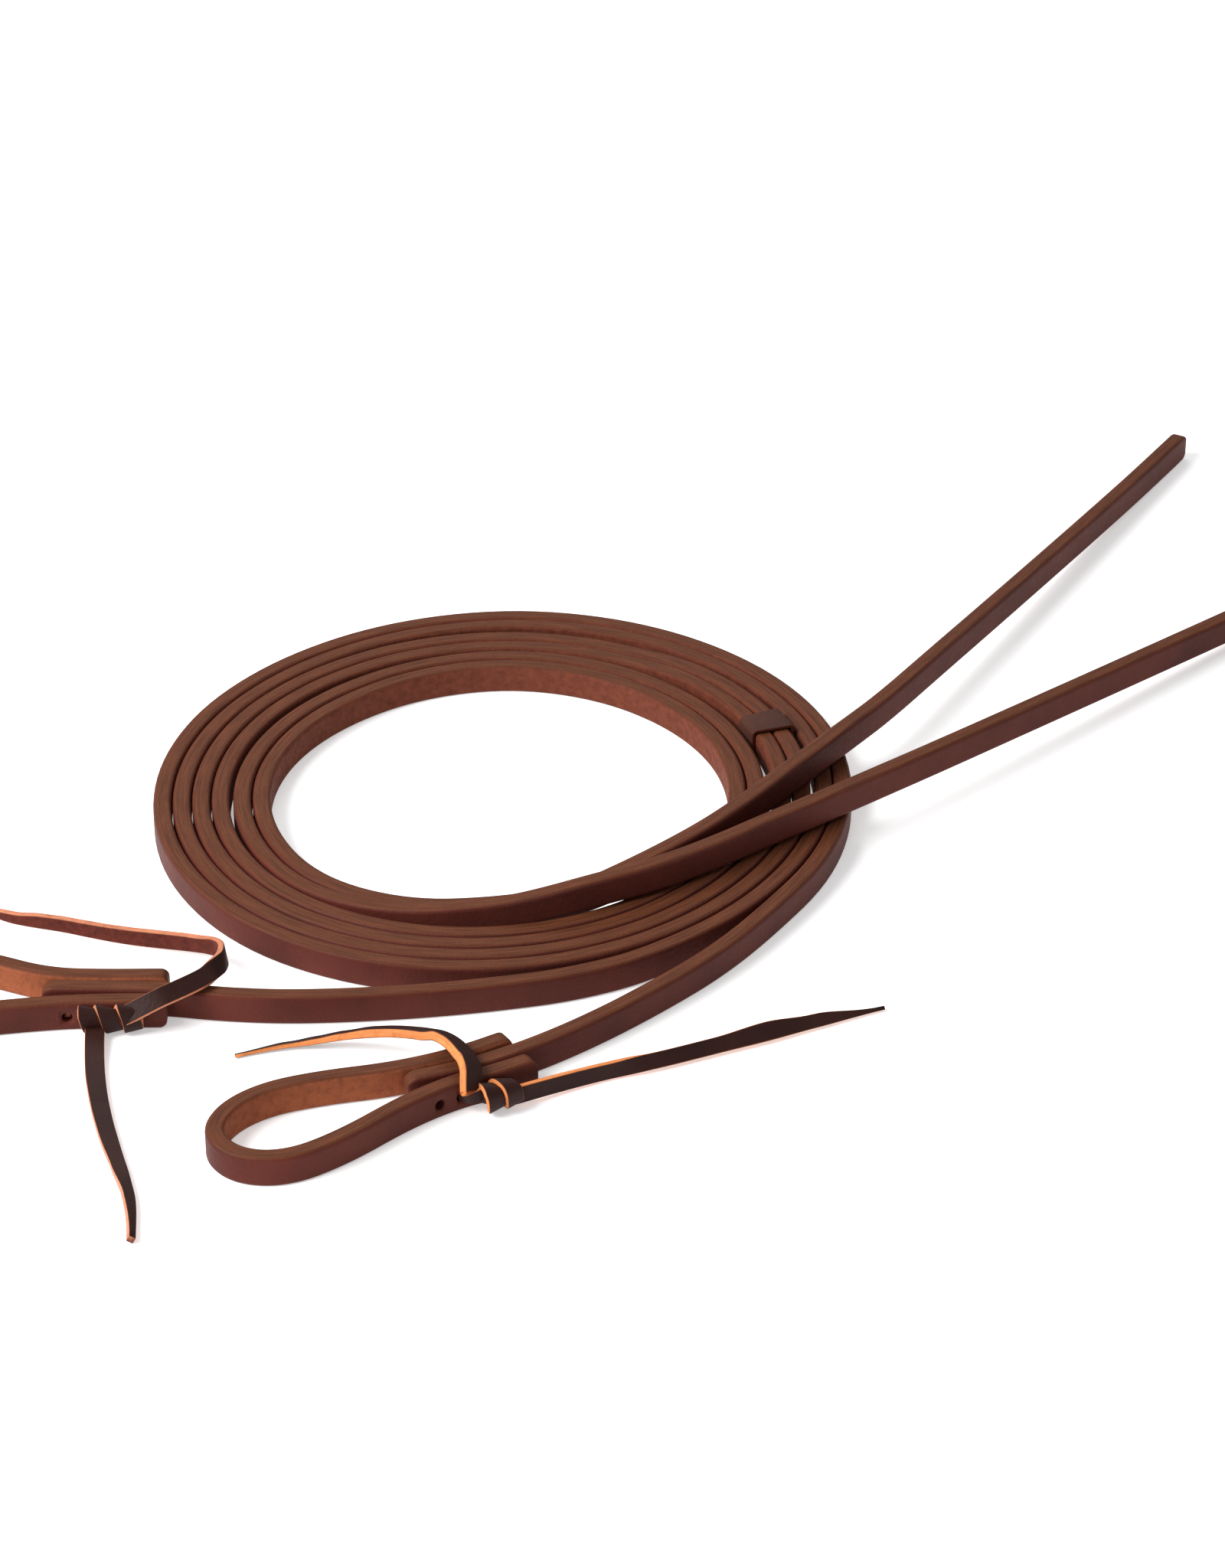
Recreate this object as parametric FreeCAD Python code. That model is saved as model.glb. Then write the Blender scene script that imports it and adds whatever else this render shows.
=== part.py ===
"""A pair of split reins in harness leather, coiled on edge on a flat surface.

Millimetres.  The origin is the coil's upright axis on the surface, +X runs to the right along
the longest side, +Y runs away and +Z is up.  Both reins stand on their long edges.  They start
at their bit-end loops at the front left, run anticlockwise side by side for three turns, and
leave as two tails that climb over the coil's right side.
"""
import FreeCAD, Part
import math
import os

Vector = FreeCAD.Vector
UP = Vector(0, 0, 1)

# ---------------------------------------------------------------- driving dimensions
WIDTH = 9.5              # strap width, 3/8 inch, upright in the coil
THICK = 5.6              # strap thickness, 14 oz harness leather
PAIR_PITCH = 6.05        # rein A's centre to rein B's centre inside the coil
LACE_WIDE = 6.0          # water-tie lace
LACE_THICK = 2.0
KEEPER_WIDE = 11.0       # keeper band, along the reins
KEEPER_THICK = 1.2
KEEPER_GAP = 0.28        # clearance between the keeper and the two reins
KEEPER_RADIUS = 91.53    # rein B's centre radius under the keeper, where the pair runs round
KEEPER_ANGLE = 22.2      # where the keeper sits on the coil, degrees from +X
KEEPER_LIFT = KEEPER_THICK + KEEPER_GAP    # the pair is raised over the keeper's lower run
LIFT_RANGE = (-4.0, 10.5, 47.5, 68.0)      # ramp up, level, ramp down, degrees from +X
HOLE_RADIUS = 1.6        # punched holes for the lace
STATIONS = 4             # sections along one step of a raised stretch
KNOT_CLEAR = 0.5         # between a knot and its ply
WRAP_GROOVE = 0.5        # between neighbouring wraps of a knot
PIN_LENGTH = 20.7        # lace inside the three plies, a little proud on both sides
PIN_PROUD = 0.6

# Rein B's centre radius at every 45 degrees of each turn, from +X; rein A runs one pitch inside.
LANES = (
    (104.6, 106.7, 109.0, 106.5, 107.8, 109.7, 103.3, 94.5),
    (91.7, 91.6, 94.4, 94.4, 95.7, 97.6, 91.2, 82.5),
    (77.4, 77.8, 81.8, 80.6, 83.0, 85.5),
)
STEP = 22.5                                     # degrees between the coil's control points
OUTWARD = 1 / math.cos(math.radians(STEP / 2))  # puts a control point outside its arc

# The stretches outside the coil: control points (x, y, z of the lower edge).
REIN_A_START = (
    (-134.0, -114.3, 0), (-116.0, -114.4, 0), (-98.0, -115.1, 0), (-81.0, -118.0, 0),
    (-63.0, -119.3, 0), (-43.0, -118.4, 0), (-22.0, -116.2, 0), (0.0, -112.4, 0),
    (21.0, -107.4, 0), (43.5, -97.0, 0), (72.4, -72.4, 0), (92.9, -38.5, 0),
)
REIN_B_START = (
    (-26.0, -161.2, 0), (-12.0, -156.6, 0), (2.0, -149.2, 0), (16.0, -139.8, 0),
    (30.6, -128.0, 0), (46.6, -113.0, 0), (62.4, -96.4, 0), (76.9, -76.7, 0), (98.6, -40.9, 0),
)
REIN_A_TAIL = (
    (-29.3, -70.8, 0.0), (0.0, -70.2, 0.9), (22.0, -66.9, 3.4), (42.0, -57.9, 8.6),
    (59.0, -43.9, 10.4), (71.5, -28.9, 10.4), (82.6, -13.4, 10.4), (94.4, 2.6, 10.4),
    (106.0, 18.6, 10.4), (119.0, 37.6, 9.6), (137.0, 68.8, 8.1), (157.0, 103.3, 6.3),
    (178.0, 139.8, 4.4), (199.0, 176.6, 2.5), (220.0, 213.7, 0.7), (236.5, 243.1, 0.0),
)
REIN_B_TAIL = (
    (-31.5, -76.4, 1.4), (0.0, -76.4, 4.8), (12.0, -75.8, 7.6), (27.0, -72.4, 10.4),
    (45.6, -63.4, 10.4), (63.6, -51.0, 10.4), (80.0, -37.6, 10.4), (97.0, -24.5, 10.4),
    (112.0, -11.9, 10.1), (132.0, 6.0, 9.0), (160.0, 31.8, 7.4), (194.0, 63.3, 5.4),
    (228.0, 94.9, 3.4), (260.0, 124.8, 1.6), (292.0, 155.0, 0.0),
)
LEFT_LOOP = (
    (-97.5, -108.0, 0), (-116.0, -108.5, 0), (-134.0, -107.4, 0), (-151.0, -99.6, 0),
    (-168.0, -94.0, 0), (-184.0, -96.0, 0), (-193.0, -106.0, 0), (-190.5, -119.0, 0),
    (-178.0, -126.9, 0), (-161.0, -127.9, 0), (-141.0, -123.9, 0), (-120.0, -121.2, 0),
    (-97.0, -121.2, 0),
)
FRONT_LOOP = (
    (2.6, -140.0, 0.0), (-11.0, -149.0, 0.0), (-30.0, -156.4, 0.0), (-50.0, -160.6, 0.0),
    (-66.0, -166.4, 0.0), (-76.5, -176.5, 0.0), (-79.3, -188.5, 0.0), (-71.5, -198.6, 0.0),
    (-57.5, -199.6, 0.0), (-42.5, -189.6, 0.0), (-25.2, -172.1, 0.0), (-10.8, -161.8, 0.0),
    (-1.0, -157.8, 0.0), (10.0, -151.2, 0.0),
)

# The laces: control points (x, y, z of the lower edge), each from its knot to its tip.
LEFT_TIE_OVER = (
    (-106.0, -127.4, 5.4), (-100.4, -126.4, 9.1), (-94.0, -122.3, 9.9), (-87.7, -116.9, 10.1),
    (-83.7, -111.2, 9.8), (-81.8, -104.5, 8.0), (-82.3, -96.5, 6.0), (-84.6, -90.5, 4.0),
    (-89.9, -87.0, 2.5), (-95.2, -84.2, 1.5), (-104.7, -81.0, 0.5), (-114.1, -78.4, 0.2),
    (-123.6, -75.2, 0.2), (-133.1, -71.6, 0.2), (-142.6, -69.1, 0.2), (-152.2, -65.5, 0.2),
    (-160.0, -58.5, 0.2),
)
LEFT_TIE_DOWN = (
    (-117.6, -129.8, 0.2), (-116.6, -143.0, 0.2), (-113.6, -161.3, 0.2), (-109.3, -179.3, 0.2),
    (-103.8, -196.8, 0.2), (-99.2, -213.2, 0.2), (-98.2, -228.0, 0.2),
)
FRONT_TIE_OVER = (
    (-8.6, -168.6, 1.5), (-7.4, -166.0, 7.0), (-7.2, -163.2, 10.2), (-9.3, -156.8, 9.9),
    (-12.1, -151.1, 9.9), (-16.0, -146.1, 9.7), (-20.9, -142.9, 9.0), (-29.0, -138.4, 7.0),
    (-38.0, -135.1, 4.5), (-47.0, -133.0, 2.0), (-55.8, -132.9, 0.2), (-65.2, -134.5, 0.2),
    (-76.2, -138.9, 0.2),
)
FRONT_TIE_DOWN = (
    (7.4, -162.4, 1.4), (26.0, -151.2, 0.4), (43.4, -144.8, 0.2), (62.0, -136.6, 0.2),
    (80.0, -128.4, 0.2), (97.0, -120.6, 0.2), (112.2, -114.2, 0.2),
)
LEFT_HOLES = (-126.2,)        # x of the holes through the plies, the lace's own first
FRONT_HOLES = (-12.0, -18.0)
LEFT_KNOT = (-115.5, 8.6, 4.4, 3)   # x of its middle, half length, depth and wraps
FRONT_KNOT = (-3.4, 6.4, 8.0, 2)
KNOT_HIGH = 8.8

# ---------------------------------------------------------------- geometry of a route


def halved(radii):
    """The radii at every 45 degrees with a smooth value put in between each pair."""
    padded = (2 * radii[0] - radii[1],) + tuple(radii) + (2 * radii[-1] - radii[-2],)
    out = []
    for before, here, after, beyond in zip(padded, padded[1:], padded[2:], padded[3:]):
        out += [here, (9 * (here + after) - before - beyond) / 16]
    return out + [radii[-1]]


def coil_points(inset):
    """Control points of one rein round the coil, anticlockwise from +X."""
    points = []
    for number, radius in enumerate(halved(LANES[0] + LANES[1] + LANES[2])):
        angle = math.radians(number * STEP)
        reach = (radius - inset) * OUTWARD
        points.append((reach * math.cos(angle), reach * math.sin(angle), 0))
    return points


def keeper_lift(x, y):
    """Height that the keeper's lower run gives the pair, by angle round the coil."""
    angle = math.degrees(math.atan2(y, x))
    start, level, end, floor = LIFT_RANGE
    share = min((angle - start) / (level - start), (floor - angle) / (floor - end), 1)
    share = max(share, 0)
    return KEEPER_LIFT * share * share * (3 - 2 * share)


def pieces_of(points):
    """Straight runs joined by tangent arcs: one piece per inner control point.

    A piece goes from the middle of one run to the middle of the next as
    (start, arc start, arc middle, arc end, end, heights, arc centre), in plan.
    """
    flat = [Vector(x, y, 0) for x, y, z in points]
    height = [z for x, y, z in points]
    middles = [(a + b) * 0.5 for a, b in zip(flat, flat[1:])]
    middles[0], middles[-1] = flat[0], flat[-1]
    heights = [(a + b) / 2 for a, b in zip(height, height[1:])]
    heights[0], heights[-1] = height[0], height[-1]
    pieces = []
    for index in range(1, len(flat) - 1):
        corner = flat[index]
        back = flat[index - 1] - corner
        ahead = flat[index + 1] - corner
        reach = 0.45 * min(back.Length, ahead.Length)
        back.normalize()
        ahead.normalize()
        half_turn = (math.pi - back.getAngle(ahead)) / 2
        radius = reach / math.tan(half_turn)
        inward = back + ahead
        inward.normalize()
        centre = corner + inward * (radius / math.cos(half_turn))
        pieces.append((middles[index - 1], corner + back * reach, centre - inward * radius,
                       corner + ahead * reach, middles[index],
                       (heights[index - 1], height[index], heights[index]), centre))
    return pieces


def side_edges(piece, offset):
    """The edges of one piece moved sideways by offset, left of the route positive."""
    start, arc_start, arc_middle, arc_end, end, heights, centre = piece
    first = UP.cross((arc_start - start).normalize())
    last = UP.cross((end - arc_end).normalize())
    radius = (arc_start - centre).Length
    moved = radius - offset if first.dot(centre - arc_start) > 0 else radius + offset
    middle = centre + (arc_middle - centre) * (moved / radius)
    first, last = first * offset, last * offset
    return [Part.LineSegment(start + first, arc_start + first).toShape(),
            Part.Arc(arc_start + first, middle, arc_end + last).toShape(),
            Part.LineSegment(arc_end + last, end + last).toShape()]


def flat_strap(pieces, thick, wide, height=0.0):
    """A strap on edge along level pieces, as one upright extrusion."""
    left, right = [], []
    for piece in pieces:
        left += side_edges(piece, thick / 2)
        right += side_edges(piece, -thick / 2)
    tip = [Part.LineSegment(left[-1].Vertexes[-1].Point, right[-1].Vertexes[-1].Point).toShape()]
    root = [Part.LineSegment(right[0].Vertexes[0].Point, left[0].Vertexes[0].Point).toShape()]
    outline = Part.Wire(Part.__sortEdges__(left + tip + right[::-1] + root))
    face = Part.Face(outline)
    face.translate(Vector(0, 0, height))
    return face.extrude(Vector(0, 0, wide))


def stations_of(pieces, count):
    """Points (place, heading, height) along pieces: count steps on each piece."""
    stations = []
    for piece in pieces:
        start, arc_start, arc_middle, arc_end, end, heights, centre = piece
        arc = Part.Arc(arc_start, arc_middle, arc_end).toShape()
        low, high = arc.ParameterRange
        places = [(start, (arc_start - start).normalize())]
        for number in range(count + 1):
            at = low + (high - low) * number / count
            places.append((arc.valueAt(at), arc.tangentAt(at)))
        places.append((end, (end - arc_end).normalize()))
        if stations:
            places = places[1:]
        length = [0.0]
        for before, after in zip([start] + [p for p, h in places], [p for p, h in places]):
            length.append(length[-1] + (after - before).Length)
        for (place, heading), run in zip(places, length[1:]):
            share = run / length[-1]
            rise = ((1 - share) ** 2 * heights[0] + 2 * share * (1 - share) * heights[1]
                    + share ** 2 * heights[2])
            stations.append((place, heading, rise))
    return stations


def section(place, heading, height, thick, wide):
    """An upright rectangle across the route, its lower edge at height."""
    side = UP.cross(heading) * (thick / 2)
    low = place + Vector(0, 0, height)
    rise = Vector(0, 0, wide)
    return Part.makePolygon([low + side, low - side, low - side + rise, low + side + rise,
                             low + side])


def raised_strap(stations, thick, wide):
    """A strap on edge whose height changes, as flat-sided lengths between stations."""
    return Part.makeLoft([section(*station, thick, wide) for station in stations], True, True)


def joined(solids):
    """Lengths that share an end rectangle, as one solid."""
    whole = solids[0].fuse(solids[1:]) if len(solids) > 1 else solids[0]
    return whole.Solids[0] if len(whole.Solids) == 1 else whole


# ---------------------------------------------------------------- the pieces


def rein(start, inset, tail):
    """One long strap: level at the bit end, through the coil, then up and over as the tail."""
    points = start + tuple(coil_points(inset)) + tail
    pieces = pieces_of(points)
    measured("rein", pieces)
    first_turn = len(start) - 1
    keeper = first_turn + 16            # the piece across +X on the second turn
    lifted = keeper + 4
    climbing = first_turn + len(LANES[0] + LANES[1] + LANES[2]) * 2 - 2
    raised = [(place, heading, keeper_lift(place.x, place.y))
              for place, heading, rise in stations_of(pieces[keeper:lifted], STATIONS)]
    rising = stations_of(pieces[climbing:], STATIONS)
    return joined([flat_strap(pieces[:keeper], THICK, WIDTH),
                   raised_strap(raised, THICK, WIDTH),
                   flat_strap(pieces[lifted:climbing], THICK, WIDTH),
                   raised_strap(rising, THICK, WIDTH)])


def measured(name, pieces):
    """Print a route's length in plan and its tightest bend."""
    length = 0.0
    tightest = float("inf")
    for start, arc_start, arc_middle, arc_end, end, heights, centre in pieces:
        arc = Part.Arc(arc_start, arc_middle, arc_end).toShape()
        length += (arc_start - start).Length + arc.Length + (end - arc_end).Length
        tightest = min(tightest, (arc_start - centre).Length)
    print(name, "length", round(length, 1), "tightest radius", round(tightest, 1))


def near_side(pieces, x):
    """The place where the route passes x, with its heading, searching from its far end."""
    stations = stations_of(pieces, 12)
    place, heading, rise = min(stations[len(stations) // 2:], key=lambda s: abs(s[0].x - x))
    return place, heading


def tie_pin(pieces, x, radius):
    """A round bar across the three plies at x: the lace in its hole, or the hole."""
    place, heading = near_side(pieces, x)
    inward = UP.cross(heading)
    start = place - inward * (THICK / 2 + PIN_PROUD) + Vector(0, 0, WIDTH / 2)
    return Part.makeCylinder(radius, PIN_LENGTH, start, inward)


def rounded_bar(start, heading, deep, high, length):
    """A bar along heading, its section high and deep with half-round top and bottom."""
    side = UP.cross(heading) * (deep / 2)
    foot = start + Vector(0, 0, deep / 2)
    head = start + Vector(0, 0, high - deep / 2)
    edges = [Part.LineSegment(foot + side, head + side).toShape(),
             Part.Arc(head + side, start + Vector(0, 0, high), head - side).toShape(),
             Part.LineSegment(head - side, foot - side).toShape(),
             Part.Arc(foot - side, start, foot + side).toShape()]
    return Part.Face(Part.Wire(edges)).extrude(heading * length)


def knot(pieces, x, half_length, deep, wraps):
    """Wraps of lace side by side against the front ply, as a ribbed rounded bar."""
    place, heading = near_side(pieces, x)
    outward = heading.cross(UP)
    axis = place + outward * (THICK / 2 + deep / 2 + KNOT_CLEAR) + Vector(0, 0, 0.1)
    start = axis - heading * half_length
    body = rounded_bar(start + Vector(0, 0, WRAP_GROOVE), heading, deep - 2 * WRAP_GROOVE,
                       KNOT_HIGH - 2 * WRAP_GROOVE, 2 * half_length)
    wrap = 2 * half_length / wraps
    for number in range(wraps):
        foot = start + heading * (wrap * number + WRAP_GROOVE / 2)
        body = body.fuse(rounded_bar(foot, heading, deep, KNOT_HIGH, wrap - WRAP_GROOVE))
    return body.removeSplitter()


def keeper():
    """A flat band round the inner pair of straps, made as a curved box with a through slot."""
    inner = KEEPER_RADIUS - PAIR_PITCH - THICK / 2 - KEEPER_GAP
    outer = KEEPER_RADIUS + THICK / 2 + KEEPER_GAP
    half = math.degrees(KEEPER_WIDE / 2 / (KEEPER_RADIUS - PAIR_PITCH / 2))

    def block(r_in, r_out, low, high, spread):
        ring = Part.makeCylinder(r_out, high - low, Vector(0, 0, low), UP, 2 * spread)
        ring = ring.cut(Part.makeCylinder(r_in, high - low, Vector(0, 0, low)))
        ring.rotate(Vector(0, 0, 0), UP, KEEPER_ANGLE - spread)
        return ring

    band = block(inner - KEEPER_THICK, outer + KEEPER_THICK, 0.0,
                 2 * KEEPER_LIFT + WIDTH, half)
    return band.cut(block(inner, outer, KEEPER_THICK, KEEPER_THICK + 2 * KEEPER_GAP + WIDTH,
                          half + 1))


def save(name, solid):
    """Write one node and say what it is."""
    solid.exportStep("parts/" + name + ".step")
    box = solid.BoundBox
    print(name, len(solid.Solids), solid.isValid(), round(solid.Volume, 1),
          [round(v, 1) for v in (box.XMin, box.XMax, box.YMin, box.YMax, box.ZMin, box.ZMax)])


def main():
    os.makedirs("parts", exist_ok=True)
    reins = {"rein_a": rein(REIN_A_START, PAIR_PITCH, REIN_A_TAIL),
             "rein_b": rein(REIN_B_START, 0, REIN_B_TAIL)}
    ends = (("a", LEFT_LOOP, LEFT_KNOT, LEFT_HOLES, LEFT_TIE_OVER, LEFT_TIE_DOWN),
            ("b", FRONT_LOOP, FRONT_KNOT, FRONT_HOLES, FRONT_TIE_OVER, FRONT_TIE_DOWN))
    for side, route, wrapped, holes, over, down in ends:
        pieces = pieces_of(route)
        for name, points in (("loop", route), ("lace over", over), ("lace down", down)):
            measured(name + " " + side, pieces_of(points))
        loop = flat_strap(pieces, THICK, WIDTH)
        for x in holes:
            drill = tie_pin(pieces, x, HOLE_RADIUS)
            loop = loop.cut(drill)
            reins["rein_" + side] = reins["rein_" + side].cut(drill)
        save("bit_loop_" + side, loop)
        save("tie_knot_" + side, knot(pieces, *wrapped))
        save("tie_pin_" + side, tie_pin(pieces, holes[0], HOLE_RADIUS - 0.1))
        save("tie_over_" + side, raised_strap(stations_of(pieces_of(over), STATIONS),
                                              LACE_THICK, LACE_WIDE))
        flat = side == "a"
        save("tie_down_" + side, raised_strap(stations_of(pieces_of(down), STATIONS),
                                              LACE_WIDE if flat else LACE_THICK,
                                              LACE_THICK if flat else LACE_WIDE))
    for name, solid in reins.items():
        save(name, solid)
    save("keeper", keeper())


main()
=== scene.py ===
"""Leather split reins: the looks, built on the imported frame.

Metres, in the frame's own axes: the reins lie on z = 0, and +X is to the viewer's right.
"""
import math

import bmesh
import bpy
from mathutils import Matrix, Vector


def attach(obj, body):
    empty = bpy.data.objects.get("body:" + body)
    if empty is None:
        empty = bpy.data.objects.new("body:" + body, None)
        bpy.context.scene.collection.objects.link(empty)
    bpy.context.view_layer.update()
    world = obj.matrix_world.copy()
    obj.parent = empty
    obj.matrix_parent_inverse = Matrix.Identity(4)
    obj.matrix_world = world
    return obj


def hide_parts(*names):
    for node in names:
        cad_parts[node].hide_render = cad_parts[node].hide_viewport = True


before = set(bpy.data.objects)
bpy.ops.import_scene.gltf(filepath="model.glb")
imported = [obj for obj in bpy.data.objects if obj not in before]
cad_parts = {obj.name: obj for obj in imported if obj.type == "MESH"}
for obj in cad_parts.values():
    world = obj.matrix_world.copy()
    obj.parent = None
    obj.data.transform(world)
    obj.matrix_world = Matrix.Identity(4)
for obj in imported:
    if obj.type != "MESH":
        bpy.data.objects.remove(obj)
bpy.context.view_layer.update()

UP = Vector((0, 0, 1))

# ---------------------------------------------------------------- sizes
WIDTH = 0.0095           # strap, upright in the coil
THICK = 0.0056
PAIR_PITCH = 0.00605
LACE_WIDE = 0.006
LACE_THICK = 0.002
STRAP_ROUND = 0.0012     # rounding of a strap's four long edges
LACE_ROUND = 0.0004
HOLE_RADIUS = 0.0016
KEEPER_RADIUS = 0.0915   # rein B's centre radius under the keeper
KEEPER_ANGLE = 22.2
KEEPER_WIDE = 0.011
KEEPER_THICK = 0.0012
KEEPER_GAP = 0.00028
KEEPER_CORNER = 0.0012   # bend of the band at its four corners, and its step along a side
KEEPER_ROUND = 0.00035
KEEPER_LIFT = KEEPER_THICK + KEEPER_GAP
LIFT_RANGE = (-4.0, 10.5, 47.5, 68.0)  # degrees: rising from, full from, full to, down at
LIFT_STEPS = (15, 21)    # the coil's control points between which the keeper lifts the pair
STEP = 22.5              # degrees between the coil's control points
OUTWARD = 1 / math.cos(math.radians(STEP / 2))
SMOOTH = 8               # spline steps between control points
KNOT_HIGH = 0.0088
KNOT_LIFT = 0.0012       # above the floor
KNOT_CLEAR = 0.0005      # between the knot and the ply
WRAP_TILT = 13           # degrees that each wrap's first edge stands proud
WRAP_STEPS = 36          # a turn
WRAP_SQUARE = 0.8        # 1 is an ellipse, less is squarer
WRAP_SCALE = (0.8, 0.95)     # of the lace's thickness and width, pulled tight
REIN_END = 0.004         # length over which a strap's end is rounded off
LOOP_END = 0.0025
END_STEPS = (0.04, 0.15, 0.32, 0.55, 0.8)

# ---------------------------------------------------------------- routes: (x, y, lower edge z)
# Rein B's centre radius at every 45 degrees of each turn, from +X; rein A runs one pitch inside.
LANES = (
    (0.1046, 0.1067, 0.109, 0.1065, 0.1078, 0.1097, 0.1033, 0.0945),
    (0.0917, 0.0916, 0.0944, 0.0944, 0.0957, 0.0976, 0.0912, 0.0825),
    (0.0774, 0.0778, 0.0818, 0.0806, 0.083, 0.0855),
)
REIN_A_START = (
    (-0.134, -0.1143, 0.0), (-0.116, -0.1144, 0.0), (-0.098, -0.1151, 0.0),
    (-0.081, -0.118, 0.0), (-0.063, -0.1193, 0.0), (-0.043, -0.1184, 0.0),
    (-0.022, -0.1162, 0.0), (0.0, -0.1124, 0.0), (0.021, -0.1074, 0.0),
    (0.0435, -0.097, 0.0), (0.0724, -0.0724, 0.0), (0.0929, -0.0385, 0.0),
)
REIN_B_START = (
    (-0.026, -0.1612, 0.0), (-0.012, -0.1566, 0.0), (0.002, -0.1492, 0.0),
    (0.016, -0.1398, 0.0), (0.0306, -0.128, 0.0), (0.0466, -0.113, 0.0),
    (0.0624, -0.0964, 0.0), (0.0769, -0.0767, 0.0), (0.0986, -0.0409, 0.0),
)
REIN_A_TAIL = (
    (-0.0293, -0.0708, 0.0), (0.0, -0.0702, 0.0009), (0.022, -0.0669, 0.0034),
    (0.042, -0.0579, 0.0086), (0.059, -0.0439, 0.0104), (0.0715, -0.0289, 0.0104),
    (0.0826, -0.0134, 0.0104), (0.0944, 0.0026, 0.0104), (0.106, 0.0186, 0.0104),
    (0.119, 0.0376, 0.0096), (0.137, 0.0688, 0.0081), (0.157, 0.1033, 0.0063),
    (0.178, 0.1398, 0.0044), (0.199, 0.1766, 0.0025), (0.22, 0.2137, 0.0007),
    (0.2365, 0.2431, 0.0),
)
REIN_B_TAIL = (
    (-0.0315, -0.0764, 0.0014), (0.0, -0.0764, 0.0048), (0.012, -0.0758, 0.0076),
    (0.027, -0.0724, 0.0104), (0.0456, -0.0634, 0.0104), (0.0636, -0.051, 0.0104),
    (0.08, -0.0376, 0.0104), (0.097, -0.0245, 0.0104), (0.112, -0.0119, 0.0101),
    (0.132, 0.006, 0.009), (0.16, 0.0318, 0.0074), (0.194, 0.0633, 0.0054),
    (0.228, 0.0949, 0.0034), (0.26, 0.1248, 0.0016), (0.292, 0.155, 0.0),
)
LEFT_LOOP = (
    (-0.0975, -0.108, 0.0), (-0.116, -0.1085, 0.0), (-0.134, -0.1074, 0.0),
    (-0.151, -0.0996, 0.0), (-0.168, -0.094, 0.0), (-0.184, -0.096, 0.0),
    (-0.193, -0.106, 0.0), (-0.1905, -0.119, 0.0), (-0.178, -0.1269, 0.0),
    (-0.161, -0.1279, 0.0), (-0.141, -0.1239, 0.0), (-0.12, -0.1212, 0.0),
    (-0.097, -0.1212, 0.0),
)
FRONT_LOOP = (
    (0.0026, -0.14, 0.0), (-0.011, -0.149, 0.0), (-0.03, -0.1564, 0.0),
    (-0.05, -0.1606, 0.0), (-0.066, -0.1664, 0.0), (-0.0765, -0.1765, 0.0),
    (-0.0793, -0.1885, 0.0), (-0.0715, -0.1986, 0.0), (-0.0575, -0.1996, 0.0),
    (-0.0425, -0.1896, 0.0), (-0.0252, -0.1721, 0.0), (-0.0108, -0.1618, 0.0),
    (-0.001, -0.1578, 0.0), (0.01, -0.1512, 0.0),
)
LEFT_TIE_OVER = (
    (-0.106, -0.1274, 0.0054), (-0.1004, -0.1264, 0.0091), (-0.094, -0.1223, 0.0099),
    (-0.0877, -0.1169, 0.0101), (-0.0837, -0.1112, 0.0098), (-0.0818, -0.1045, 0.008),
    (-0.0823, -0.0965, 0.006), (-0.0846, -0.0905, 0.004), (-0.0899, -0.087, 0.0025),
    (-0.0952, -0.0842, 0.0015), (-0.1047, -0.081, 0.0005), (-0.1141, -0.0784, 0.0002),
    (-0.1236, -0.0752, 0.0002), (-0.1331, -0.0716, 0.0002), (-0.1426, -0.0691, 0.0002),
    (-0.1522, -0.0655, 0.0002), (-0.16, -0.0585, 0.0002),
)
LEFT_TIE_DOWN = (
    (-0.1176, -0.1298, 0.0002), (-0.1166, -0.143, 0.0002), (-0.1136, -0.1613, 0.0002),
    (-0.1093, -0.1793, 0.0002), (-0.1038, -0.1968, 0.0002), (-0.0992, -0.2132, 0.0002),
    (-0.0982, -0.228, 0.0002),
)
FRONT_TIE_OVER = (
    (-0.0086, -0.1686, 0.0015), (-0.0074, -0.166, 0.007), (-0.0072, -0.1632, 0.0102),
    (-0.0093, -0.1568, 0.0099), (-0.0121, -0.1511, 0.0099), (-0.016, -0.1461, 0.0097),
    (-0.0209, -0.1429, 0.009), (-0.029, -0.1384, 0.007), (-0.038, -0.1351, 0.0045),
    (-0.047, -0.133, 0.002), (-0.0558, -0.1329, 0.0002), (-0.0652, -0.1345, 0.0002),
    (-0.0762, -0.1389, 0.0002),
)
FRONT_TIE_DOWN = (
    (0.0074, -0.1624, 0.0014), (0.026, -0.1512, 0.0004), (0.0434, -0.1448, 0.0002),
    (0.062, -0.1366, 0.0002), (0.08, -0.1284, 0.0002), (0.097, -0.1206, 0.0002),
    (0.1122, -0.1142, 0.0002),
)
LEFT_HOLES = (-0.1262,)
FRONT_HOLES = (-0.012, -0.018)
# Knots: (x of the middle, half length, depth, turns)
LEFT_KNOT = (-0.1155, 0.0086, 0.0044, 3)
FRONT_KNOT = (-0.0034, 0.0064, 0.008, 2)

CAMERA_PLACE = Vector((0.0326, -1.2330, 0.7516))
CAMERA_DOWN = math.radians(31.07)
FLOOR_SIDE = 6.0

# ---------------------------------------------------------------- camera and light


def aim(thing, place, target):
    """Put a camera or a light at place, looking at target."""
    thing.location = place
    thing.rotation_euler = (Vector(target) - Vector(place)).to_track_quat("-Z", "Y").to_euler()


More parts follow.
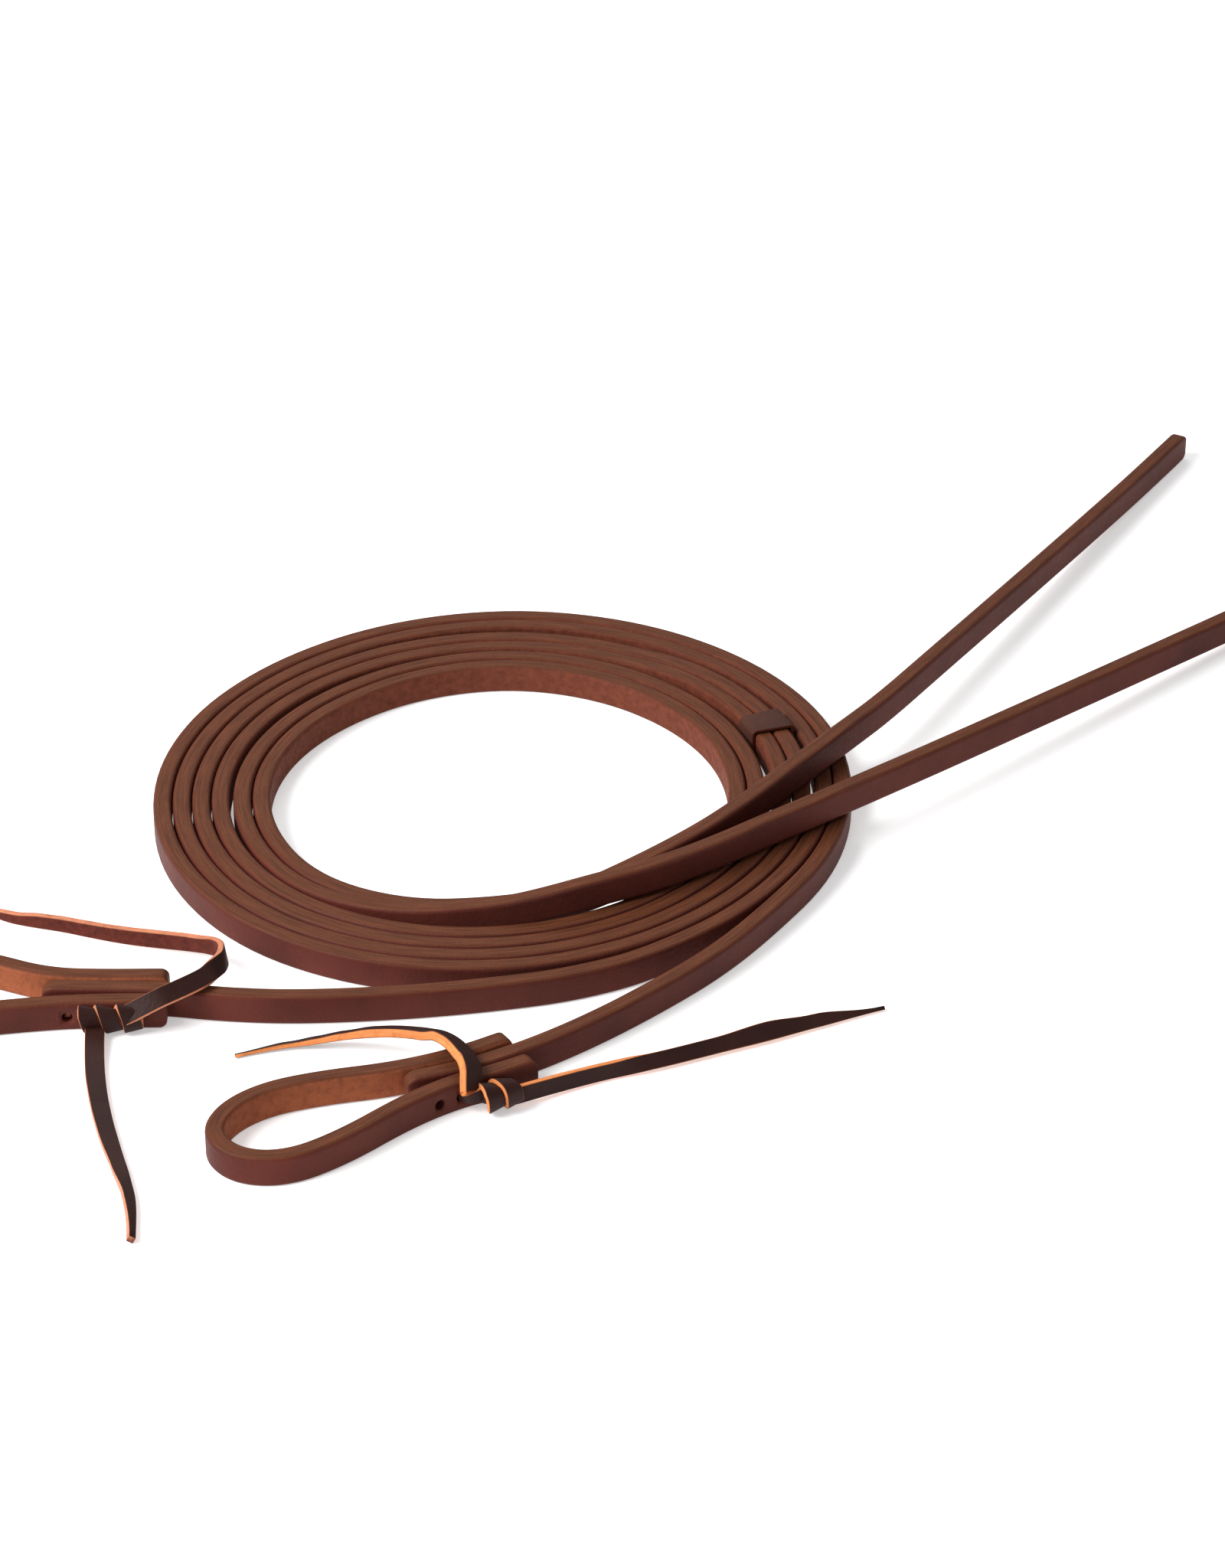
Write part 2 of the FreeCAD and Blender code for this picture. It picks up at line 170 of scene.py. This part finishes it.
def add_camera():
    data = bpy.data.cameras.new("camera")
    data.lens = 135
    data.sensor_width = 36
    data.sensor_fit = "HORIZONTAL"
    camera = bpy.data.objects.new("camera", data)
    bpy.context.scene.collection.objects.link(camera)
    ahead = Vector((0, math.cos(CAMERA_DOWN), -math.sin(CAMERA_DOWN)))
    aim(camera, CAMERA_PLACE, CAMERA_PLACE + ahead)
    bpy.context.scene.camera = camera


def add_area(name, place, target, size, power):
    data = bpy.data.lights.new(name, "AREA")
    data.shape = "DISK"
    data.size = size
    data.energy = power
    light = bpy.data.objects.new(name, data)
    bpy.context.scene.collection.objects.link(light)
    aim(light, place, target)


def add_floor():
    """A pale sheet of paper that lights itself a little, so that it stays white."""
    mesh = bpy.data.meshes.new("floor")
    side = FLOOR_SIDE
    mesh.from_pydata([(-side, -side, 0), (side, -side, 0), (side, side, 0), (-side, side, 0)],
                     [], [(0, 1, 2, 3)])
    floor = bpy.data.objects.new("floor", mesh)
    bpy.context.scene.collection.objects.link(floor)
    paper = bpy.data.materials.new("paper")
    paper.use_nodes = True
    shader = paper.node_tree.nodes["Principled BSDF"]
    shader.inputs["Base Color"].default_value = (0.9, 0.9, 0.9, 1)
    shader.inputs["Emission Color"].default_value = (1, 1, 1, 1)
    shader.inputs["Emission Strength"].default_value = 0.4
    shader.inputs["Roughness"].default_value = 0.9
    mesh.materials.append(paper)


def add_studio():
    world = bpy.data.worlds.new("world")
    bpy.context.scene.world = world
    world.use_nodes = True
    back = world.node_tree.nodes["Background"]
    back.inputs["Color"].default_value = (1, 1, 1, 1)
    back.inputs["Strength"].default_value = 0.42
    add_area("key", (-1.2, -0.5, 1.15), (0.0, -0.05, 0), 1.3, 46)
    add_area("back", (-0.1, 1.4, 1.3), (0.05, 0, 0), 0.9, 6)
    bpy.context.scene.view_settings.view_transform = "Standard"
    add_floor()


# ---------------------------------------------------------------- materials


def srgb(red, green, blue):
    """A screen colour, 0 to 255, as linear light."""
    out = []
    for value in (red, green, blue):
        value /= 255
        out.append(value / 12.92 if value <= 0.04045 else ((value + 0.055) / 1.055) ** 2.4)
    return tuple(out) + (1,)


class Nodes:
    """Short calls that add shader nodes to one material."""

    def __init__(self, name):
        self.material = bpy.data.materials.new(name)
        self.material.use_nodes = True
        self.tree = self.material.node_tree
        self.shader = self.tree.nodes["Principled BSDF"]

    def add(self, kind, values=None, **settings):
        node = self.tree.nodes.new(kind)
        for key, value in settings.items():
            setattr(node, key, value)
        for key, value in (values or {}).items():
            self.feed(node.inputs[key], value)
        return node

    def feed(self, socket, value):
        if isinstance(value, bpy.types.NodeSocket):
            self.tree.links.new(value, socket)
        else:
            socket.default_value = value

    def mix(self, factor, first, second, how="MIX"):
        node = self.add("ShaderNodeMix", data_type="RGBA", blend_type=how)
        self.feed(node.inputs["Factor"], factor)
        self.feed(node.inputs[6], first)
        self.feed(node.inputs[7], second)
        return node.outputs[2]

    def math(self, how, first, second=0.0):
        node = self.add("ShaderNodeMath", operation=how)
        self.feed(node.inputs[0], first)
        self.feed(node.inputs[1], second)
        return node.outputs[0]

    def ramp(self, value, low, high):
        node = self.add("ShaderNodeMapRange", {"Value": value, "From Min": low, "From Max": high})
        return node.outputs["Result"]

    def noise(self, vector, scale, detail=3.0, roughness=0.55):
        node = self.add("ShaderNodeTexNoise", {"Vector": vector, "Scale": scale, "Detail": detail,
                                               "Roughness": roughness})
        return node.outputs["Fac"]

    def attribute(self, name):
        return self.add("ShaderNodeAttribute", attribute_name=name).outputs["Fac"]


def leather(name, grain, edge, flesh, gloss, flesh_rough=0.75, pores=900):
    """Oiled leather.  Attributes on the mesh say where its cut edges and its flesh side are."""
    n = Nodes(name)
    place = n.add("ShaderNodeTexCoord").outputs["Object"]
    strip = n.add("ShaderNodeUVMap", uv_map="strap").outputs["UV"]
    streaked = n.add("ShaderNodeMapping", {"Vector": strip, "Scale": (60, 1400, 1)})
    is_edge = n.attribute("edge")
    is_flesh = n.attribute("flesh")
    cloud = n.noise(place, 38, 4)
    fine = n.noise(place, 420, 5, 0.65)
    fibre = n.noise(streaked.outputs["Vector"], 1, 4, 0.6)
    colour = n.mix(n.ramp(cloud, 0.3, 0.7), srgb(*grain[0]), srgb(*grain[1]))
    flesh_colour = n.mix(n.ramp(fine, 0.3, 0.7), srgb(*flesh[0]), srgb(*flesh[1]))
    colour = n.mix(is_flesh, colour, flesh_colour)
    edge_colour = n.mix(n.ramp(fibre, 0.3, 0.7), srgb(*edge[0]), srgb(*edge[1]))
    colour = n.mix(is_edge, colour, edge_colour)
    worn = n.math("MULTIPLY", n.ramp(fine, 0.5, 0.72), 0.3)
    colour = n.mix(worn, colour, srgb(*grain[0]))
    n.feed(n.shader.inputs["Base Color"], colour)
    rough = n.math("MULTIPLY_ADD", is_flesh, flesh_rough - gloss)
    n.tree.nodes[-1].inputs[2].default_value = gloss
    rough = n.math("ADD", rough, n.math("MULTIPLY", n.math("SUBTRACT", fine, 0.5), 0.22))
    n.feed(n.shader.inputs["Roughness"], rough)
    cells = n.add("ShaderNodeTexVoronoi", {"Vector": place, "Scale": pores})
    grainy = n.math("MULTIPLY", cells.outputs["Distance"], 0.5)
    fuzzy = n.math("MULTIPLY", n.math("ADD", is_flesh, is_edge), fibre)
    height = n.math("ADD", n.math("ADD", grainy, fuzzy), n.math("MULTIPLY", fine, 0.7))
    bump = n.add("ShaderNodeBump", {"Height": height, "Strength": 0.32, "Distance": 0.0004})
    n.feed(n.shader.inputs["Normal"], bump.outputs["Normal"])
    n.shader.inputs["Specular IOR Level"].default_value = 0.1
    return n.material


# ---------------------------------------------------------------- routes and sweeps


def halved(radii):
    """The radii at every 45 degrees with a smooth value put in between each pair."""
    padded = (2 * radii[0] - radii[1],) + tuple(radii) + (2 * radii[-1] - radii[-2],)
    out = []
    for before, here, after, beyond in zip(padded, padded[1:], padded[2:], padded[3:]):
        out += [here, (9 * (here + after) - before - beyond) / 16]
    return out + [radii[-1]]


def coil_points(inset):
    """Control points of one rein round the coil, anticlockwise from +X."""
    points = []
    for number, radius in enumerate(halved(LANES[0] + LANES[1] + LANES[2])):
        angle = math.radians(number * STEP)
        reach = (radius - inset) * OUTWARD
        points.append((reach * math.cos(angle), reach * math.sin(angle), 0))
    return tuple(points)


def spline_line(points, rise):
    """The smooth line of a route, read from its NURBS spline, raised to the strap's middle."""
    curve = bpy.data.curves.new("route", "CURVE")
    curve.dimensions = "3D"
    spline = curve.splines.new("NURBS")
    spline.points.add(len(points) - 1)
    for point, (x, y, z) in zip(spline.points, points):
        point.co = (x, y, z + rise, 1)
    spline.order_u = 3
    spline.use_endpoint_u = True
    curve.resolution_u = SMOOTH
    holder = bpy.data.objects.new("route", curve)
    mesh = bpy.data.meshes.new_from_object(holder)
    line = [vertex.co.copy() for vertex in mesh.vertices]
    bpy.data.objects.remove(holder)
    bpy.data.meshes.remove(mesh)
    bpy.data.curves.remove(curve)
    return line


def headings(line):
    """Unit direction at each point of a line."""
    out = []
    for index in range(len(line)):
        ahead = line[min(index + 1, len(line) - 1)]
        behind = line[max(index - 1, 0)]
        out.append((ahead - behind).normalized())
    return out


def spread(values, count):
    """A short list of values stretched smoothly over count places."""
    out = []
    for index in range(count):
        at = index / (count - 1) * (len(values) - 1)
        low = min(int(at), len(values) - 2)
        share = at - low
        share = share * share * (3 - 2 * share)
        out.append(values[low] * (1 - share) + values[low + 1] * share)
    return out


def rounded_section(thick, wide, radius):
    """A strap's cross-section as (across, up, edge, flesh): left is positive across."""
    out = []
    for number, (a, b) in enumerate(((1, 1), (-1, 1), (-1, -1), (1, -1))):
        x, y = a * (thick / 2 - radius), b * (wide / 2 - radius)
        corner = [(x + radius * math.cos(angle), y + radius * math.sin(angle))
                  for angle in (math.radians(90 * number + 22.5 * step) for step in range(5))]
        inset = radius * 0.35
        if number % 2 == 0:
            before, after = (corner[0][0], y - b * inset), (x - a * inset, corner[4][1])
        else:
            before, after = (x - a * inset, corner[0][1]), (corner[4][0], y - b * inset)
        for px, py in (before, *corner, after):
            edge = min(max((abs(py) - wide / 2 + radius * 0.45) / (radius * 0.4), 0), 1)
            flesh = 1.0 if px > thick / 2 - radius * 0.5 and edge < 1 else 0.0
            out.append((px, py, edge, flesh * (1 - edge)))
    return out


def sweep(name, frames, section, material):
    """A tube of one section along frames of (place, across, up, thick scale, wide scale)."""
    mesh = bpy.data.meshes.new(name)
    work = bmesh.new()
    count = len(section)
    rings = []
    along = [0.0]
    for before, after in zip(frames, frames[1:]):
        along.append(along[-1] + (after[0] - before[0]).length)
    for place, across, up, thin, narrow in frames:
        rings.append([work.verts.new(place + across * (x * thin) + up * (y * narrow))
                      for x, y, edge, flesh in section])
    girth = [0.0]
    for (x0, y0, *rest), (x1, y1, *more) in zip(section, section[1:] + section[:1]):
        girth.append(girth[-1] + math.hypot(x1 - x0, y1 - y0))
    layer = work.loops.layers.uv.new("strap")
    for index, (here, there) in enumerate(zip(rings, rings[1:])):
        for side in range(count):
            beside = (side + 1) % count
            face = work.faces.new((here[side], there[side], there[beside], here[beside]))
            face.smooth = True
            near, far = along[index], along[index + 1]
            corners = ((near, girth[side]), (far, girth[side]),
                       (far, girth[side + 1]), (near, girth[side + 1]))
            for loop, corner in zip(face.loops, corners):
                loop[layer].uv = corner
    for ring, at in ((rings[0], 0.0), (rings[-1][::-1], along[-1])):
        face = work.faces.new(ring)
        face.smooth = False
        for loop in face.loops:
            loop[layer].uv = (at, loop.vert.co.z)
    bmesh.ops.recalc_face_normals(work, faces=work.faces)
    work.to_mesh(mesh)
    work.free()
    for key, number in (("edge", 2), ("flesh", 3)):
        values = [point[number] for point in section] * len(frames)
        mesh.attributes.new(key, "FLOAT", "POINT").data.foreach_set("value", values)
    mesh.materials.append(material)
    piece = bpy.data.objects.new(name, mesh)
    bpy.context.scene.collection.objects.link(piece)
    return piece


def strap_frames(line, thins, narrows):
    """Upright frames along a line."""
    frames = []
    for place, heading, thin, narrow in zip(line, headings(line), thins, narrows):
        across = UP.cross(heading).normalized()
        frames.append((place, across, heading.cross(across), thin, narrow))
    return frames


def rounded_ends(line, reach):
    """Width factors that round a strap's corners off over reach at its ends."""
    out = []
    total = 0.0
    run = [0.0]
    for before, after in zip(line, line[1:]):
        total += (after - before).length
        run.append(total)
    for at in run:
        value = 1.0
        for gap in (at, total - at):
            if gap < reach:
                value = min(value, 0.45 + 0.55 * math.sqrt(1 - (1 - gap / reach) ** 2))
        out.append(value)
    return out


def fine_ends(line, reach):
    """The line with a few closer points at each end, where it is rounded."""
    first, last = line[0], line[-1]
    start = (line[1] - first).normalized()
    back = (line[-2] - last).normalized()
    head = [first] + [first + start * (reach * step) for step in END_STEPS]
    tail = [last + back * (reach * step) for step in reversed(END_STEPS)] + [last]
    middle = [p for p in line if (p - first).length > reach and (p - last).length > reach]
    return head + middle + tail


# ---------------------------------------------------------------- the pieces


def keeper_lift(x, y):
    """Height that the keeper's lower run gives the pair, by angle round the coil."""
    angle = math.degrees(math.atan2(y, x))
    start, level, end, floor = LIFT_RANGE
    share = min((angle - start) / (level - start), (floor - angle) / (floor - end), 1)
    share = max(share, 0)
    return KEEPER_LIFT * share * share * (3 - 2 * share)


def make_rein(name, start, inset, tail, material):
    """One long strap through the coil, standing on its edge."""
    points = start + coil_points(inset) + tail
    line = spline_line(points, WIDTH / 2)
    first, last = ((len(start) - 2 + step) * SMOOTH for step in LIFT_STEPS)
    for place in line[first:last]:
        place.z += keeper_lift(place.x, place.y)
    line = fine_ends(line, REIN_END)
    narrow = rounded_ends(line, REIN_END)
    thin = [0.5 + 0.5 * value for value in narrow]
    piece = sweep(name, strap_frames(line, thin, narrow),
                  rounded_section(THICK, WIDTH, STRAP_ROUND), material)
    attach(piece, "reins")
    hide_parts(name)


def make_loop(name, points, holes, material):
    """A folded bit-end strap with its punched holes cut through; its middle line is returned."""
    line = fine_ends(spline_line(points, WIDTH / 2), LOOP_END)
    narrow = rounded_ends(line, LOOP_END)
    piece = sweep(name, strap_frames(line, [1] * len(line), narrow),
                  rounded_section(THICK, WIDTH, STRAP_ROUND), material)
    for x in holes:
        punch(piece, line, x)
    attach(piece, "reins")
    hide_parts(name)
    return line


def near_place(line, x):
    """The place and heading on the near half of a loop's line where it passes x."""
    directions = headings(line)
    half = len(line) // 2
    index = min(range(half, len(line)), key=lambda i: abs(line[i].x - x))
    return line[index].copy(), directions[index]


def punch(piece, line, x):
    """Cut one round hole across the ply at x."""
    place, heading = near_place(line, x)
    across = UP.cross(heading).normalized()
    work = bmesh.new()
    turn = across.to_track_quat("Z", "Y").to_matrix().to_4x4()
    bmesh.ops.create_cone(work, segments=24, radius1=HOLE_RADIUS, radius2=HOLE_RADIUS,
                          depth=THICK * 1.4, cap_ends=True,
                          matrix=Matrix.Translation(place) @ turn)
    mesh = bpy.data.meshes.new("punch")
    work.to_mesh(mesh)
    work.free()
    tool = bpy.data.objects.new("punch", mesh)
    bpy.context.scene.collection.objects.link(tool)
    change = piece.modifiers.new("hole", "BOOLEAN")
    change.operation = "DIFFERENCE"
    change.solver = "EXACT"
    change.object = tool
    view = bpy.context.evaluated_depsgraph_get()
    cut = bpy.data.meshes.new_from_object(piece.evaluated_get(view))
    piece.modifiers.clear()
    old = piece.data
    piece.data = cut
    bpy.data.meshes.remove(old)
    bpy.data.objects.remove(tool)
    bpy.data.meshes.remove(mesh)


def blend_vectors(vectors, count):
    """Directions given at a route's control points, spread along its line."""
    parts = [spread([vector[axis] for vector in vectors], count) for axis in range(3)]
    return [Vector(triple).normalized() for triple in zip(*parts)]


def ribbon_frames(line, facings, thins, narrows, resting):
    """Frames of a flat lace: its grain side turns towards facings.

    With resting the line is the lace's lowest edge and the middle is put above it.
    """
    frames = []
    for place, heading, facing, thin, narrow in zip(line, headings(line), facings, thins, narrows):
        outward = (facing - heading * facing.dot(heading)).normalized()
        wide = outward.cross(heading).normalized()
        place = place.copy()
        if resting:
            place.z += (abs(wide.z) * LACE_WIDE * narrow + abs(outward.z) * LACE_THICK * thin) / 2
        frames.append((place, -outward, wide, thin, narrow))
    return frames


def make_lace(name, points, tuck, facings, widths, thins, material):
    """One free tail of a lace, turned as it lies; its first point is tucked into the knot."""
    first = tuple(value + shift for value, shift in zip(points[0], tuck))
    line = spline_line((first,) + points[1:], 0)
    count = len(line)
    frames = ribbon_frames(line, blend_vectors(facings, count), spread(thins, count),
                           spread(widths, count), True)
    piece = sweep(name, frames, rounded_section(LACE_THICK, LACE_WIDE, LACE_ROUND), material)
    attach(piece, "reins")
    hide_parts(name)


def joined(name, pieces):
    """Several meshes made one object."""
    with bpy.context.temp_override(active_object=pieces[0], selected_editable_objects=pieces):
        bpy.ops.object.join()
    pieces[0].name = name
    return pieces[0]


def knot_filling(name, middle, heading, outward, half_length, deep, shrink, material):
    """The lace inside the wraps, which closes the gaps between them."""
    frames = []
    for step in range(7):
        share = step / 3 - 1
        size = (1 - 0.35 * share ** 4) * (1 - shrink * share ** 2)
        place = middle + heading * (share * (half_length - 0.0008))
        frames.append((place, outward, UP, size, size))
    outline = []
    for step in range(20):
        angle = math.radians(18 * step)
        outline.append(((deep - 1.7 * LACE_THICK) / 2 * math.cos(angle),
                        (KNOT_HIGH - 1.7 * LACE_THICK) / 2 * math.sin(angle), 0.0, 0.0))
    return sweep(name + "_core", frames, outline, material)


def make_knot(name, line, wrapped, look, material):
    """Lace wrapped round itself against the front ply: one ribbon wound in a helix.

    look is how much the ends shrink, how much the wraps slant, their pitch, and the distance
    along the ply from the place that wrapped gives.
    """
    x, half_length, deep, turns = wrapped
    shrink, slant, pitch, along = look
    place, heading = near_place(line, x)
    outward = heading.cross(UP).normalized()
    middle = place + outward * (THICK / 2 + deep / 2 + KNOT_CLEAR)
    middle += heading * along
    middle.z = KNOT_HIGH / 2 + KNOT_LIFT
    reach = (turns - 1) / 2 * pitch + 0.0004
    frames = []
    tilt = math.radians(WRAP_TILT)
    steps = WRAP_STEPS * turns
    for step in range(steps + 1):
        share = step / steps
        angle = math.pi * (1 - 2 * turns * share)
        cos, sin = math.cos(angle), math.sin(angle)
        size = 1 - shrink * (2 * share - 1) ** 2
        out = math.copysign(abs(cos) ** WRAP_SQUARE, cos) * (deep - LACE_THICK) / 2 * size
        rise = math.copysign(abs(sin) ** WRAP_SQUARE, sin) * (KNOT_HIGH - LACE_THICK) / 2 * size
        lead = share + slant * math.sin(4 * math.pi * turns * share) / (4 * math.pi * turns)
        shift = min(max((2 * lead - 1) * turns * pitch / 2, -reach), reach)
        spot = middle + heading * shift + outward * out + UP * rise
        normal = (outward * cos + UP * sin).normalized()
        face = normal * math.cos(tilt) + heading * math.sin(tilt)
        across = heading * math.cos(tilt) - normal * math.sin(tilt)
        frames.append((spot, -face, across, *WRAP_SCALE))
    wraps = sweep(name, frames, rounded_section(LACE_THICK, LACE_WIDE, LACE_ROUND), material)
    filling = knot_filling(name, middle, heading, outward, half_length, deep, shrink, material)
    piece = joined(name, [wraps, filling])
    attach(piece, "reins")
    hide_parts(name)


def make_pin(name, line, x, wrapped, past, material):
    """The lace inside the plies, out of its hole and this far past the knot's end.

    When past is 0 the lace stays inside its hole.
    """
    place, heading = near_place(line, x)
    far = near_place(line, wrapped[0])[0]
    outward = heading.cross(UP).normalized()
    run = (far - place).dot(heading) - wrapped[1] + past
    face = THICK / 2
    # outwards from the near ply's middle, along it, and up; then the lace's thickness and width
    route = ((-0.0135, 0, 0, 1, 0.46), (-0.006, 0.0001, 0, 1, 0.46), (0.0005, 0, 0, 1, 0.46),
             (face - 0.0008, 0.0001, 0, 1, 0.46), (face + 0.0022, 0.0009, 0.0006, 0.9, 0.6),
             (face + 0.0034, 0.5 * run, 0.0014, 0.9, 0.68), (face + 0.0037, run, 0.0020, 0.9, 0.72))
    facings = [-heading] * 3 + [outward - heading] + [outward] * 3
    if past <= 0:
        route, facings = route[:3], facings[:3]
    points = [tuple(place + outward * out + heading * along + UP * lift)
              for out, along, lift, thin, wide in route]
    path = spline_line(points, 0)
    frames = ribbon_frames(path, blend_vectors(facings, len(path)),
                           spread([point[3] for point in route], len(path)),
                           spread([point[4] for point in route], len(path)), False)
    piece = sweep(name, frames, rounded_section(LACE_THICK, LACE_WIDE, LACE_ROUND), material)
    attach(piece, "reins")
    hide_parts(name)


def make_keeper(material):
    """A leather band round two neighbouring straps, following the coil's curve."""
    inner = KEEPER_RADIUS - PAIR_PITCH - THICK / 2 - KEEPER_GAP
    outer = KEEPER_RADIUS + THICK / 2 + KEEPER_GAP
    mid_r = (inner + outer) / 2
    deep = outer - inner + KEEPER_THICK
    high = WIDTH + 2 * KEEPER_GAP + KEEPER_THICK
    mid_z = KEEPER_THICK / 2 + high / 2
    path = []
    for number, (a, b) in enumerate(((1, 1), (-1, 1), (-1, -1), (1, -1))):
        for step in range(5):
            angle = math.radians(90 * number + 22.5 * step)
            path.append((a * (deep / 2 - KEEPER_CORNER) + KEEPER_CORNER * math.cos(angle),
                         b * (high / 2 - KEEPER_CORNER) + KEEPER_CORNER * math.sin(angle),
                         Vector((math.cos(angle), math.sin(angle)))))
    section = rounded_section(KEEPER_THICK, KEEPER_WIDE, KEEPER_ROUND)
    full = []
    for (x0, z0, n0), (x1, z1, n1) in zip(path, path[1:] + path[:1]):
        gap = math.hypot(x1 - x0, z1 - z0)
        pieces = max(1, round(gap / KEEPER_CORNER))
        for step in range(pieces):
            share = step / pieces
            full.append((x0 + (x1 - x0) * share, z0 + (z1 - z0) * share,
                         (n0 * (1 - share) + n1 * share).normalized()))
    work = bmesh.new()
    layer = work.loops.layers.uv.new("strap")
    rings = []
    for x, z, normal in full:
        ring = []
        for across, along, edge, flesh in section:
            radius = mid_r + x + normal.x * across
            angle = math.radians(KEEPER_ANGLE) + along / mid_r
            ring.append(work.verts.new((radius * math.cos(angle), radius * math.sin(angle),
                                        mid_z + z + normal.y * across)))
        rings.append(ring)
    count = len(section)
    for index, ring in enumerate(rings):
        after = rings[(index + 1) % len(rings)]
        for side in range(count):
            beside = (side + 1) % count
            face = work.faces.new((ring[side], after[side], after[beside], ring[beside]))
            face.smooth = True
            for loop, corner_uv in zip(face.loops, ((index, side), (index + 1, side),
                                                    (index + 1, side + 1), (index, side + 1))):
                loop[layer].uv = (corner_uv[0] * KEEPER_CORNER, corner_uv[1] * 0.0005)
    bmesh.ops.recalc_face_normals(work, faces=work.faces)
    mesh = bpy.data.meshes.new("keeper_band")
    work.to_mesh(mesh)
    work.free()
    for key, number in (("edge", 2), ("flesh", 3)):
        values = [0.0 if key == "flesh" else point[number] for point in section] * len(full)
        mesh.attributes.new(key, "FLOAT", "POINT").data.foreach_set("value", values)
    mesh.materials.append(material)
    piece = bpy.data.objects.new("keeper_band", mesh)
    bpy.context.scene.collection.objects.link(piece)
    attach(piece, "keeper")
    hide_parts("keeper")


def main():
    add_camera()
    add_studio()
    grain = ((92, 42, 33), (72, 33, 27))
    edge = ((105, 59, 37), (70, 39, 25))
    rein_leather = leather("rein_leather", grain, edge, ((110, 57, 40), (86, 43, 31)), 0.55)
    loop_leather = leather("loop_leather", grain, edge, ((152, 86, 56), (132, 74, 49)), 0.55)
    lace_grain = ((52, 29, 25), (39, 22, 20))
    lace_flesh = ((98, 42, 31), (74, 31, 24))
    lace_leather = leather("lace_leather", lace_grain, ((226, 142, 84), (196, 114, 64)),
                           lace_flesh, 0.5)
    brown_lace = leather("brown_lace", lace_grain, ((206, 134, 100), (172, 104, 76)),
                         lace_flesh, 0.5)
    band_leather = leather("keeper_leather", ((74, 44, 34), (56, 32, 26)),
                           ((88, 38, 26), (66, 30, 20)), ((78, 38, 28), (60, 30, 22)), 0.55)
    line_a = make_loop("bit_loop_a", LEFT_LOOP, LEFT_HOLES, loop_leather)
    line_b = make_loop("bit_loop_b", FRONT_LOOP, FRONT_HOLES, loop_leather)
    make_rein("rein_a", REIN_A_START, PAIR_PITCH, REIN_A_TAIL, rein_leather)
    make_rein("rein_b", REIN_B_START, 0, REIN_B_TAIL, rein_leather)
    make_knot("tie_knot_a", line_a, LEFT_KNOT, (0.03, 0.3, 0.0061, 0.0024), brown_lace)
    make_knot("tie_knot_b", line_b, FRONT_KNOT, (0.1, -0.5, 0.0058, 0.0020), lace_leather)
    make_pin("tie_pin_a", line_a, LEFT_HOLES[0], LEFT_KNOT, 0, brown_lace)
    make_pin("tie_pin_b", line_b, FRONT_HOLES[0], FRONT_KNOT, 0.0032, lace_leather)
    outbound, turning, upright = (0, -0.66, 0.75), (0.85, -0.3, 0.3), (0.2, 1, 0.12)
    make_lace("tie_over_a", LEFT_TIE_OVER, (-0.003, 0.0006, -0.0014),
              [outbound] * 4 + [(0.5, -0.6, 0.5), turning, (1, 0.1, 0.15), (0.8, 0.6, 0.1)]
              + [upright] * 9,
              [0.95] * 4 + [0.98] * 7 + [0.95, 0.9, 0.85, 0.8, 0.6, 0.3], [1.0] * 17, brown_lace)
    make_lace("tie_down_a", LEFT_TIE_DOWN, (0, 0.0018, 0.0016),
              [(0.06, 0, 1)] * 5 + [(0.3, 0, 0.95), (0.5, 0, 0.85)],
              [0.95, 0.95, 0.9, 0.85, 0.72, 0.56, 0.34], [1.0] * 7, brown_lace)
    lying = (0.05, 0.35, 0.94)
    make_lace("tie_over_b", FRONT_TIE_OVER, (0.0014, 0.0020, 0.0046),
              [(0.7, -0.7, 0.1), (0.7, -0.6, 0.3), (0.65, -0.3, 0.7), (0.5, 0.15, 0.85),
               (0.45, 0.25, 0.86), (0.3, 0.38, 0.88)] + [lying] * 7,
              [1.15] * 5 + [1.1, 1.0, 0.9, 0.85, 0.75, 0.65, 0.45, 0.2],
              [1.45] * 6 + [1.35] * 3 + [1.1, 0.9, 0.7, 0.5], lace_leather)
    make_lace("tie_down_b", FRONT_TIE_DOWN, (-0.0032, -0.0014, 0),
              [(0.45, -0.85, 0.1)] * 2 + [(0.35, -0.7, 0.62)] * 5,
              [0.9, 0.85, 0.8, 0.8, 0.95, 0.7, 0.2], [1, 1, 1, 1, 1, 0.8, 0.5], lace_leather)
    make_keeper(band_leather)


main()
